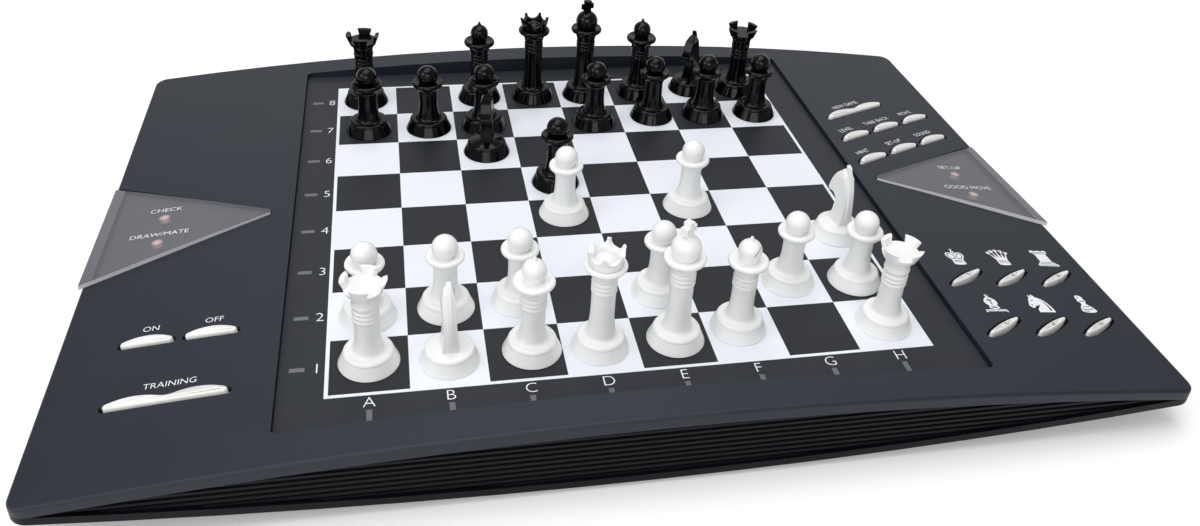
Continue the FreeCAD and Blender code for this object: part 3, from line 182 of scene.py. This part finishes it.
# Shader helpers
class Shader:
    """A material's nodes, with short calls for the ones used over and over."""

    def __init__(self, tree):
        self.nodes = tree.nodes
        self.links = tree.links

    def add(self, kind, **settings):
        node = self.nodes.new(kind)
        for key, value in settings.items():
            setattr(node, key, value)
        return node

    def feed(self, socket, value):
        if isinstance(value, bpy.types.NodeSocket):
            self.links.new(value, socket)
        else:
            socket.default_value = value

    def math(self, operation, a, b=0.0):
        node = self.add("ShaderNodeMath", operation=operation)
        self.feed(node.inputs[0], a)
        self.feed(node.inputs[1], b)
        return node.outputs[0]

    def mix(self, share, a, b):
        node = self.add("ShaderNodeMix", data_type="RGBA")
        self.feed(node.inputs["Factor"], share)
        self.feed(node.inputs["A"], a)
        self.feed(node.inputs["B"], b)
        return node.outputs["Result"]

    def below(self, value, limit):
        return self.math("LESS_THAN", value, limit)

    def both(self, a, b):
        return self.math("MULTIPLY", a, b)

    def place(self):
        """The point on the piece, as separate X, Y and Z."""
        where = self.add("ShaderNodeTexCoord")
        split = self.add("ShaderNodeSeparateXYZ")
        self.feed(split.inputs[0], where.outputs["Object"])
        return split.outputs

    def grain(self, scale):
        """The shared grain at a scale of its own, as height and mottle."""
        node = self.add("ShaderNodeGroup", node_tree=GRAIN)
        node.inputs["Scale"].default_value = scale
        return node.outputs["Height"], node.outputs["Mottle"]

    def uneven_gloss(self, bsdf, mottle, least, spread):
        self.feed(bsdf.inputs["Roughness"], self.math("ADD", self.math("MULTIPLY", mottle, spread), least))

    def bumped(self, bsdf, height, strength, depth):
        bump = self.add("ShaderNodeBump")
        bump.inputs["Strength"].default_value = strength
        bump.inputs["Distance"].default_value = depth
        self.feed(bump.inputs["Height"], height)
        self.feed(bsdf.inputs["Normal"], bump.outputs["Normal"])


def colour(red, green, blue):
    """A screen colour from 0 to 255, as the shader's linear values."""
    shares = []
    for level in (red, green, blue):
        share = level / 255
        shares.append(share / 12.92 if share <= 0.04045 else ((share + 0.055) / 1.055) ** 2.4)
    return (*shares, 1.0)


def grain_group():
    """Fine moulded grain: a height for bumps and a soft mottle for colour and gloss."""
    group = bpy.data.node_groups.new("moulded_grain", "ShaderNodeTree")
    group.interface.new_socket("Scale", in_out="INPUT", socket_type="NodeSocketFloat")
    group.interface.new_socket("Height", in_out="OUTPUT", socket_type="NodeSocketFloat")
    group.interface.new_socket("Mottle", in_out="OUTPUT", socket_type="NodeSocketFloat")
    shader = Shader(group)
    entry = shader.add("NodeGroupInput")
    leave = shader.add("NodeGroupOutput")
    where = shader.add("ShaderNodeTexCoord")
    fine = shader.add("ShaderNodeTexNoise")
    broad = shader.add("ShaderNodeTexNoise")
    broad.inputs["Scale"].default_value = 38.0
    for node in (fine, broad):
        shader.feed(node.inputs["Vector"], where.outputs["Object"])
    shader.feed(fine.inputs["Scale"], entry.outputs["Scale"])
    shader.feed(leave.inputs["Height"], fine.outputs["Fac"])
    shader.feed(leave.inputs["Mottle"], broad.outputs["Fac"])
    return group


GRAIN = grain_group()


# Materials
def new_material(name, base, rough, **settings):
    """A principled material with plain values on its own sockets."""
    material = bpy.data.materials.new(name)
    material.use_nodes = True
    shader = Shader(material.node_tree)
    bsdf = shader.nodes["Principled BSDF"]
    bsdf.inputs["Base Color"].default_value = base
    bsdf.inputs["Roughness"].default_value = rough
    for socket, value in settings.items():
        bsdf.inputs[socket.replace("_", " ")].default_value = value
    return material, shader, bsdf


def moulded(name, dark, light, rough, spread, grain, depth, **settings):
    """Moulded plastic: fine grain, slight mottle in colour and gloss."""
    material, shader, bsdf = new_material(name, dark, rough, **settings)
    height, mottle = shader.grain(grain)
    shader.feed(bsdf.inputs["Base Color"], shader.mix(mottle, dark, light))
    shader.uneven_gloss(bsdf, mottle, rough - spread / 2, spread)
    shader.bumped(bsdf, height, 0.35, depth)
    return material


def slot_mask(shader, outward, sideways):
    """The row of light windows at one side of the board."""
    out = shader.math("ABSOLUTE", shader.math("ADD", outward, FIELD + SLOT_OUT))
    cell = shader.math("FRACT", shader.math("DIVIDE", sideways, SQUARE))
    side = shader.math("ABSOLUTE", shader.math("SUBTRACT", cell, 0.5))
    inside = shader.below(shader.math("ABSOLUTE", sideways), FIELD)
    slot = shader.both(shader.below(out, SLOT_HALF_LENGTH), shader.below(side, SLOT_HALF_WIDTH / SQUARE))
    return shader.both(slot, inside)


def film_material():
    """Printed board: squares, border line and grey light windows under a satin sheet."""
    black = colour(35, 38, 43)
    mottled_black = colour(40, 43, 48)
    margin = colour(43, 46, 53)
    pale = colour(238, 242, 250)
    grey = colour(112, 114, 113)
    material, shader, bsdf = new_material("printed_film", black, 0.46, Specular_IOR_Level=0.25)
    height, mottle = shader.grain(1800.0)
    x, y, _ = shader.place()
    along = shader.math("SUBTRACT", y, BOARD_BACK)
    reach = shader.math("MAXIMUM", shader.math("ABSOLUTE", x), shader.math("ABSOLUTE", along))
    file = shader.math("FLOOR", shader.math("DIVIDE", x, SQUARE))
    rank = shader.math("FLOOR", shader.math("DIVIDE", along, SQUARE))
    odd = shader.math("FLOORED_MODULO", shader.math("ADD", file, rank), 2.0)
    field = shader.below(reach, FIELD)
    light_square = shader.both(field, odd)
    line = shader.both(shader.below(reach, FIELD + BORDER_LINE), shader.math("SUBTRACT", 1.0, field))
    printed = shader.math("MAXIMUM", light_square, line)
    windows = shader.math("MAXIMUM", slot_mask(shader, x, along), slot_mask(shader, along, x))
    ground = shader.mix(field, margin, shader.mix(mottle, black, mottled_black))
    base = shader.mix(printed, ground, pale)
    shader.feed(bsdf.inputs["Base Color"], shader.mix(windows, base, grey))
    shader.uneven_gloss(bsdf, mottle, 0.4, 0.12)
    shader.bumped(bsdf, height, 0.2, 0.00005)
    return material


def painted_lamp_glow(shader, x, y):
    """Painted glow of the lamps in the window: full above each lamp, gone at the glow's radius."""
    across = shader.math("SUBTRACT", shader.math("ABSOLUTE", x), LAMP_X)
    glows = []
    for lamp_y in LAMP_YS:
        along = shader.math("SUBTRACT", y, lamp_y - PAINTED_GLOW_FRONT)
        square = shader.math("ADD", shader.both(across, across), shader.both(along, along))
        fall = shader.math("DIVIDE", square, PAINTED_GLOW_RADIUS ** 2)
        glows.append(shader.math("MAXIMUM", shader.math("SUBTRACT", 1.0, fall), 0.0))
    return shader.math("MAXIMUM", *glows)


def window_material():
    """Smoky see-through sheet with a painted pink glow above the lamps, clouded towards the case's thin outer
    edge.
    """
    smoke = colour(126, 128, 135)
    pale_smoke = colour(136, 138, 145)
    pink = colour(224, 190, 188)
    clouded = colour(100, 102, 108)
    material, shader, bsdf = new_material("smoky_window", smoke, 0.16, IOR=1.49)
    _, mottle = shader.grain(700.0)
    x, y, _ = shader.place()
    # Painted glow: the sheet is pink and less see-through above each lamp
    glow = painted_lamp_glow(shader, x, y)
    outer = shader.math("GREATER_THAN", shader.math("ABSOLUTE", x), WINDOW_CLOUD)
    lit = shader.mix(glow, shader.mix(mottle, smoke, pale_smoke), pink)
    shader.feed(bsdf.inputs["Base Color"], shader.mix(outer, lit, clouded))
    cloud = shader.math("ADD", shader.math("MULTIPLY", glow, PAINTED_GLOW_ALPHA), WINDOW_ALPHA)
    shader.feed(bsdf.inputs["Alpha"], shader.math("MAXIMUM", outer, cloud))
    shader.uneven_gloss(bsdf, mottle, 0.12, 0.08)
    return material


# Finishes of the part
FILM = film_material()
WINDOW = window_material()
COVER = moulded("charcoal_cover", colour(26, 32, 43), colour(31, 37, 48),
                rough=0.46, spread=0.1, grain=2600.0, depth=0.00012, Specular_IOR_Level=0.42)
# Ribs: the cover's charcoal plastic, made near black as painted shade in the grooves
PAINTED_RIB_SHADE = moulded("black_ribs", colour(6, 8, 13), colour(9, 11, 17),
               rough=0.46, spread=0.1, grain=2600.0, depth=0.00008, Specular_IOR_Level=0.2)
IVORY = moulded("ivory_key", colour(238, 238, 235), colour(244, 244, 241),
                rough=0.36, spread=0.12, grain=2200.0, depth=0.00003, Coat_Weight=0.15, Coat_Roughness=0.25)
WHITE_PIECE = moulded("white_piece", colour(243, 244, 243), colour(248, 249, 248),
                      rough=0.3, spread=0.12, grain=900.0, depth=0.00003,
                      Coat_Weight=0.2, Coat_Roughness=0.15)
BLACK_PIECE = moulded("black_piece", colour(3, 3, 5), colour(6, 6, 8),
                      rough=0.13, spread=0.1, grain=900.0, depth=0.00003, Specular_IOR_Level=0.24)
# Near-white front edges of the windows: a painted highlight on the clear edge
PAINTED_EDGE_HIGHLIGHT = moulded("window_edge_painted_highlight", colour(222, 221, 224), colour(234, 233, 236),
                      rough=0.3, spread=0.1, grain=1500.0, depth=0.00003)
# Red lamp colour of their own, with an emission that is a painted glow so the lamps show through the window
LAMP = moulded("clear_red_lamp_painted_glow", colour(206, 120, 110), colour(222, 150, 142),
               rough=0.12, spread=0.05, grain=800.0, depth=0.00001,
               Emission_Color=colour(255, 150, 140), Emission_Strength=0.45)
INK = moulded("white_ink", colour(238, 239, 242), colour(246, 247, 249),
              rough=0.5, spread=0.1, grain=3000.0, depth=0.00001)
SHEET = moulded("sensor_sheet", colour(184, 186, 184), colour(196, 198, 196),
                rough=0.4, spread=0.1, grain=1200.0, depth=0.00002)
BOARD = moulded("board_green", colour(30, 90, 52), colour(38, 102, 62),
                rough=0.4, spread=0.15, grain=1600.0, depth=0.00005)
MAT = moulded("grey_rubber", colour(134, 134, 136), colour(146, 146, 148),
              rough=0.75, spread=0.1, grain=2000.0, depth=0.0001)
SPEAKER = moulded("speaker_black", colour(30, 30, 31), colour(38, 38, 39),
                  rough=0.5, spread=0.15, grain=1500.0, depth=0.0001)
CELL = moulded("cell_sleeve", colour(64, 68, 78), colour(76, 80, 90),
               rough=0.3, spread=0.1, grain=900.0, depth=0.00002, Metallic=0.4)
STEEL = moulded("screw_steel", colour(168, 170, 172), colour(186, 188, 190),
                rough=0.32, spread=0.2, grain=2400.0, depth=0.00004, Metallic=1.0)
FOOT = moulded("foot_rubber", colour(27, 27, 28), colour(34, 34, 35),
               rough=0.8, spread=0.1, grain=2200.0, depth=0.00012)

SLOT_FINISH = {
    "charcoal_cover": COVER, "black_ribs": PAINTED_RIB_SHADE, "printed_film": FILM, "clear_sheet": SHEET,
    "smoky_window": WINDOW, "board_green": BOARD, "grey_rubber": MAT, "speaker_black": SPEAKER,
    "cell_sleeve": CELL, "screw_steel": STEEL, "foot_rubber": FOOT, "ivory_key": IVORY,
    "white_piece": WHITE_PIECE, "black_piece": BLACK_PIECE,
}


def finish_parts():
    for row in frame["record"]["subparts"]:
        mesh = NODES[row["node"]].data
        mesh.materials.clear()
        mesh.materials.append(SLOT_FINISH[row["material_slot"]])


def repaint(node, material, wanted):
    """Gives another finish to the faces of a part that pass a test of middle and normal."""
    mesh = NODES[node].data
    mesh.materials.append(material)
    number = len(mesh.materials) - 1
    for face in mesh.polygons:
        if wanted(face.center, face.normal):
            face.material_index = number


def on_lamp(middle, _):
    near_x = abs(abs(middle.x) - LAMP_X) < LAMP_REACH
    near_y = any(abs(middle.y - y) < LAMP_REACH for y in LAMP_YS)
    return near_x and near_y and middle.z > LAMP_LEVEL


def on_front_edge(_, normal):
    return normal.y < -EDGE_WAY and abs(normal.z) < EDGE_RISE


def on_back_edge(_, normal):
    return normal.y > EDGE_WAY and abs(normal.z) < EDGE_RISE


# Keys with pillow-shaped caps: shares of length and depth, turn and dome
SMALL_KEYS = ("key_level", "key_take_back", "key_move", "key_hint", "key_set_up", "key_sound")
PIECE_KEYS = ("key_king", "key_queen", "key_rook", "key_bishop", "key_knight", "key_pawn")
CAP_SHAPES = {
    ("key_on", "key_off"): (0.97, 0.96, 0.0, MOON_DOME),
    ("key_training",): (0.98, 0.96, 0.0, MOON_DOME),
    ("key_new_game",): (0.98, 0.94, KEY_TURN, MOON_DOME),
    SMALL_KEYS: (0.88, 0.88, KEY_TURN, MOON_DOME),
    PIECE_KEYS: (0.93, 0.56, PIECE_KEY_TURN, LENS_DOME),
}


def unpick(mesh):
    for group in (mesh.vertices, mesh.edges, mesh.polygons):
        group.foreach_set("select", [False] * len(group))


def pick_vertices(mesh, wanted):
    unpick(mesh)
    for vertex in mesh.vertices:
        vertex.select = wanted(vertex.co)


def pick_faces(mesh, wanted):
    """Selects the faces that pass a test, and gives their common middle."""
    unpick(mesh)
    for face in mesh.polygons:
        face.select = wanted(face.center, face.normal)
    picked = [face for face in mesh.polygons if face.select]
    return sum((face.center * face.area for face in picked), Vector()) / sum(face.area for face in picked)


def key_copy(node):
    """A copy of a key with its own mesh, doubled points merged."""
    choose([NODES[node]])
    bpy.ops.object.duplicate()
    cap = bpy.context.object
    cap.name = node + "_cap"
    cap.data.name = node + "_cap"
    to_mode("EDIT")
    bpy.ops.mesh.select_mode(type="VERT")
    bpy.ops.mesh.select_all(action="SELECT")
    bpy.ops.mesh.remove_doubles(threshold=MERGE_REACH)
    to_mode("OBJECT")
    return cap


def draw_in(mesh, normal, top, middle, length, depth, turn):
    """Lowers a key's top and draws its cap in, along and across the key's own line."""
    along = Matrix.Rotation(math.radians(turn), 3, "Z")
    pick_vertices(mesh, lambda place: place.dot(normal) > top - KEY_CAP)
    to_mode("EDIT")
    bpy.ops.transform.translate(value=-KEY_SINK * normal)
    bpy.ops.mesh.select_more()
    bpy.ops.transform.resize(value=(length, depth, 1.0), orient_type="GLOBAL", orient_matrix=along,
                             orient_matrix_type="GLOBAL", center_override=middle)
    bpy.ops.mesh.select_mode(type="FACE")
    to_mode("OBJECT")


def dome_over(mesh, normal, top, dome):
    """Raises a cap's flat top in rings, each smaller than the one before."""
    flat = top - KEY_SINK - TOP_PLAY
    peak = pick_faces(mesh, lambda place, way: place.dot(normal) > flat and way.dot(normal) > TOP_WAY)
    to_mode("EDIT")
    bpy.ops.mesh.dissolve_faces()
    for share, rise in dome:
        bpy.ops.mesh.extrude_region_move(TRANSFORM_OT_translate={"value": rise * normal})
        bpy.ops.transform.resize(value=(share, share, 1.0), center_override=peak)
    to_mode("OBJECT")
    bpy.ops.object.shade_smooth_by_angle(angle=math.radians(SMOOTH_ANGLE))


def paint_key_foot_shade(mesh, normal, level):
    """Paints shade on the part of a key that lies inside the case, with the dark rubber finish, so that the
    gap round the cap shows dark.
    """
    mesh.materials.append(FOOT)
    for face in mesh.polygons:
        if face.center.dot(normal) < level:
            face.material_index = 1


def pillow_key(node, length, depth, turn, dome):
    """A copy of a key with a lower, domed cap, which takes the key's place."""
    cap = key_copy(node)
    middle = key_middle(node)
    _, normal = surface("top_cover", middle.x, middle.y + KEY_CLEAR)
    top = max(vertex.co.dot(normal) for vertex in cap.data.vertices)
    draw_in(cap.data, normal, top, middle, length, depth, turn)
    dome_over(cap.data, normal, top, dome)
    paint_key_foot_shade(cap.data, normal, top - KEY_SHADE)
    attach(cap, node)
    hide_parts(node)


def pillow_keys():
    for nodes, shape in CAP_SHAPES.items():
        for node in nodes:
            pillow_key(node, *shape)


# Printed words and signs
LEVEL_SIGNS = {"key_on": "ON", "key_off": "OFF", "key_training": "TRAINING"}
SLANTED_SIGNS = {
    "key_new_game": "NEW GAME", "key_level": "LEVEL", "key_take_back": "TAKE BACK", "key_move": "MOVE",
    "key_hint": "HINT", "key_set_up": "SET-UP", "key_sound": "SOUND",
}
PIECE_SIGNS = {
    "key_king": "♚", "key_queen": "♛", "key_rook": "♜",
    "key_bishop": "♝", "key_knight": "♞", "key_pawn": "♟",
}
WINDOW_SIGNS = {"CHECK": (-1, 0), "DRAW/MATE": (-1, 1), "SET-UP": (1, 0), "GOOD MOVE": (1, 1)}


def lettering(body, height, node, x, y, turn=0.0, thin=PRINT_THIN):
    """One printed sign, made a mesh and laid flat on a part with its middle at the place given."""
    point, normal = surface(node, x, y)
    deselect()
    bpy.ops.object.text_add()
    sign = bpy.context.object
    sign.data.body = body
    sign.data.resolution_u = CURVE_STEPS
    sign.data.offset = thin
    bpy.ops.object.convert(target="MESH")
    sign = bpy.context.object
    corners = [vertex.co for vertex in sign.data.vertices]
    low = Vector([min(corner[k] for corner in corners) for k in range(3)])
    high = Vector([max(corner[k] for corner in corners) for k in range(3)])
    scale = height / (high.y - low.y)
    sign.data.transform(Matrix.Translation(-(low + high) / 2))
    lean = Vector((0, 0, 1)).rotation_difference(normal).to_matrix()
    sign.scale = (scale, scale, scale)
    sign.rotation_euler = (lean @ Matrix.Rotation(math.radians(turn), 3, "Z")).to_euler()
    sign.location = point + normal * PRINT_LIFT
    bpy.ops.object.transform_apply(location=True, rotation=True, scale=True)
    return sign


def board_marks():
    rank_x = -FIELD - RANK_OUT
    file_y = BOARD_BACK - FIELD - FILE_OUT
    signs = []
    for k, (rank, file) in enumerate(zip("12345678", "ABCDEFGH")):
        middle = (k - 3.5) * SQUARE
        signs.append(lettering(rank, RANK_HEIGHT, "board_film", rank_x, middle + BOARD_BACK, thin=BOARD_THIN))
        signs.append(lettering(file, FILE_HEIGHT, "board_film", middle, file_y, thin=BOARD_THIN))
    return joined(signs, "board_marks")


def key_marks():
    turn = math.radians(KEY_TURN)
    out = Vector((-math.sin(turn), math.cos(turn), 0)) * SLANTED_OUT
    signs = []
    for node, body in LEVEL_SIGNS.items():
        place = key_middle(node)
        signs.append(lettering(body, LEVEL_HEIGHT, "top_cover", place.x, place.y + LEVEL_OUT))
    for node, body in SLANTED_SIGNS.items():
        place = key_middle(node) + out
        signs.append(lettering(body, SLANTED_HEIGHT, "top_cover", place.x, place.y, KEY_TURN))
    for node, body in PIECE_SIGNS.items():
        place = key_middle(node) + Vector((PIECE_ASIDE, PIECE_OUT, 0))
        signs.append(lettering(body, PIECE_HEIGHT, "top_cover", place.x, place.y, thin=0.0))
    return joined(signs, "key_marks")


def window_marks():
    signs = []
    for body, (side, row) in WINDOW_SIGNS.items():
        y = LAMP_YS[row] + WINDOW_OUT
        signs.append(lettering(body, WINDOW_HEIGHT, "indicator_windows", side * LAMP_X, y))
    return joined(signs, "window_marks")


# Stage, light and camera
def floor_material():
    """Pale floor that shows white around the object and keeps its shadow."""
    material, shader, bsdf = new_material("pale_floor", colour(246, 246, 246), 0.9, Specular_IOR_Level=0.0)
    path = shader.add("ShaderNodeLightPath")
    bsdf.inputs["Emission Color"].default_value = (1, 1, 1, 1)
    glow = shader.math("MULTIPLY", path.outputs["Is Camera Ray"], FLOOR_GLOW)
    shader.feed(bsdf.inputs["Emission Strength"], glow)
    return material


def set_stage():
    deselect()
    bpy.ops.mesh.primitive_plane_add(size=FLOOR_SIZE, location=(0, 0, 0))
    floor = bpy.context.object
    floor.name = "floor"
    bpy.ops.object.transform_apply(location=True, rotation=True, scale=True)
    floor.data.materials.append(floor_material())


def soft_lamp(name, place, size, power):
    """A rectangular lamp that looks at the middle of the part."""
    light = bpy.data.lights.new(name, "AREA")
    light.shape = "RECTANGLE"
    light.size, light.size_y = size
    light.energy = power
    lamp = bpy.data.objects.new(name, light)
    bpy.context.scene.collection.objects.link(lamp)
    lamp.location = place
    lamp.rotation_euler = (-Vector(place)).to_track_quat("-Z", "Y").to_euler()


def light_scene():
    """White sky for the camera and a dimmer one as light, with the soft lamps."""
    world = bpy.data.worlds.new("studio")
    bpy.context.scene.world = world
    world.use_nodes = True
    shader = Shader(world.node_tree)
    background = shader.nodes["Background"]
    background.inputs["Color"].default_value = (1, 1, 1, 1)
    path = shader.add("ShaderNodeLightPath")
    seen = shader.math("MULTIPLY", path.outputs["Is Camera Ray"], 1.0 - SKY_LIGHT)
    shader.feed(background.inputs["Strength"], shader.math("ADD", seen, SKY_LIGHT))
    for name, (place, size, power) in SOFT_LAMPS.items():
        soft_lamp(name, place, size, power)


def set_camera():
    camera = bpy.data.objects.new("camera", bpy.data.cameras.new("camera"))
    bpy.context.scene.collection.objects.link(camera)
    azimuth = math.radians(CAMERA_AZIMUTH)
    elevation = math.radians(CAMERA_ELEVATION)
    turn = Euler((math.pi / 2 - elevation, 0, azimuth)).to_matrix()
    turn = turn @ Matrix.Rotation(math.radians(CAMERA_ROLL), 3, "Z")
    camera.location = CAMERA_AT
    camera.rotation_euler = turn.to_euler()
    camera.data.sensor_width = SENSOR
    camera.data.lens = LENS
    camera.data.shift_x = SHIFT_X
    camera.data.shift_y = SHIFT_Y
    camera.data.clip_start = NEAREST
    bpy.context.scene.camera = camera


finish_parts()
# The lamp faces take the red lamp finish with its painted glow
repaint("circuit_boards", LAMP, on_lamp)
# The windows' front edges get a painted highlight
repaint("indicator_windows", PAINTED_EDGE_HIGHLIGHT, on_front_edge)
# The windows' back edges get the near-black rib finish: a painted shadow line in the gap behind each window
repaint("indicator_windows", PAINTED_RIB_SHADE, on_back_edge)
pillow_keys()
for marks in (board_marks(), key_marks(), window_marks()):
    marks.data.materials.append(INK)
    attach(marks, "housing")
set_stage()
light_scene()
set_camera()
bpy.context.scene.view_settings.view_transform = "Standard"
